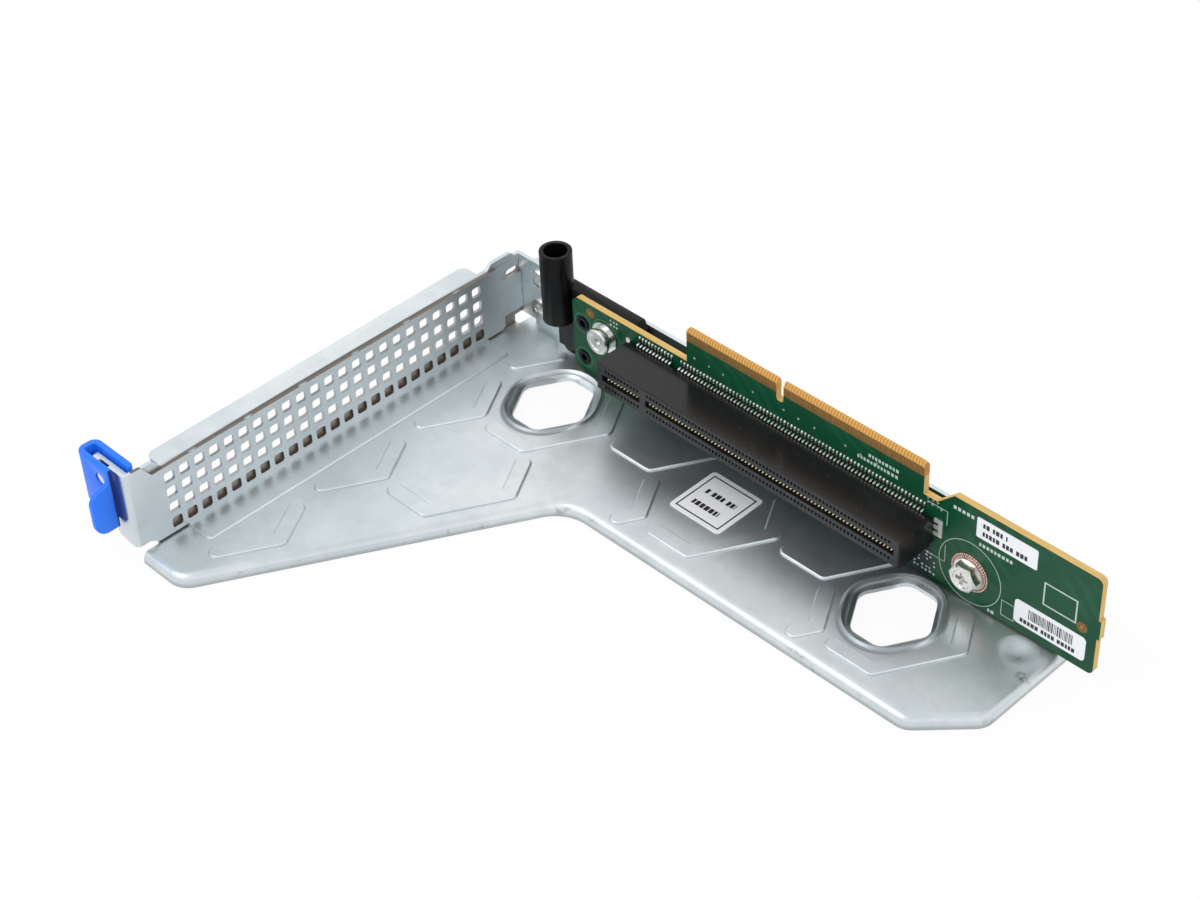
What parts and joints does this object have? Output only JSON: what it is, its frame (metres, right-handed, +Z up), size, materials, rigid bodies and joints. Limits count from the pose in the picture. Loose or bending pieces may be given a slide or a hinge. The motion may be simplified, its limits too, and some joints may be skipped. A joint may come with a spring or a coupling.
{
  "type": "riser card cage",
  "caption": "Riser board with a card slot, standing on a stamped steel tray with a perforated slot cover and a blue pull cap at its end.",
  "frame": {"origin": "middle of the whole cage's bounding box, at the tray rim's lower edge", "axes": "+X along the riser board, away from the slot cover; +Y to the back wall; +Z up, out of the tray"},
  "size_m": [0.1888, 0.1258, 0.0335],
  "materials": {
    "zinc_steel": "satin zinc-coated sheet",
    "cover_steel": "satin zinc-coated sheet",
    "blue_plastic": "moulded, light gloss",
    "bright_steel": "nickel-plated",
    "board": "green solder mask",
    "gold": "gold-plated",
    "connector_plastic": "moulded, matte",
    "contact_metal": "gold-plated tips, tinned leads",
    "tin": "tinned",
    "black_plastic": "moulded, satin",
    "copper": "bare copper",
    "label_paper": "matte sticker"
  },
  "bodies": {
    "root": {"base_tray": "zinc_steel", "slot_cover": "cover_steel", "pull_cap": "blue_plastic", "ear_stud": "bright_steel", "wing_rivet_upper": "bright_steel", "wing_rivet_lower": "bright_steel", "riser_board": "board", "edge_fingers_front": "gold", "edge_fingers_back": "gold", "slot_housing": "connector_plastic", "slot_contacts_upper": "contact_metal", "slot_contacts_lower": "contact_metal", "hold_down_right": "tin", "hold_down_left": "tin", "guide_carrier": "black_plastic", "shoulder_stud": "bright_steel", "board_screw": "bright_steel", "screw_pad": "copper", "board_standoff": "bright_steel", "tray_label": "label_paper", "part_label": "label_paper", "serial_label": "label_paper"}
  },
  "joints": []
}
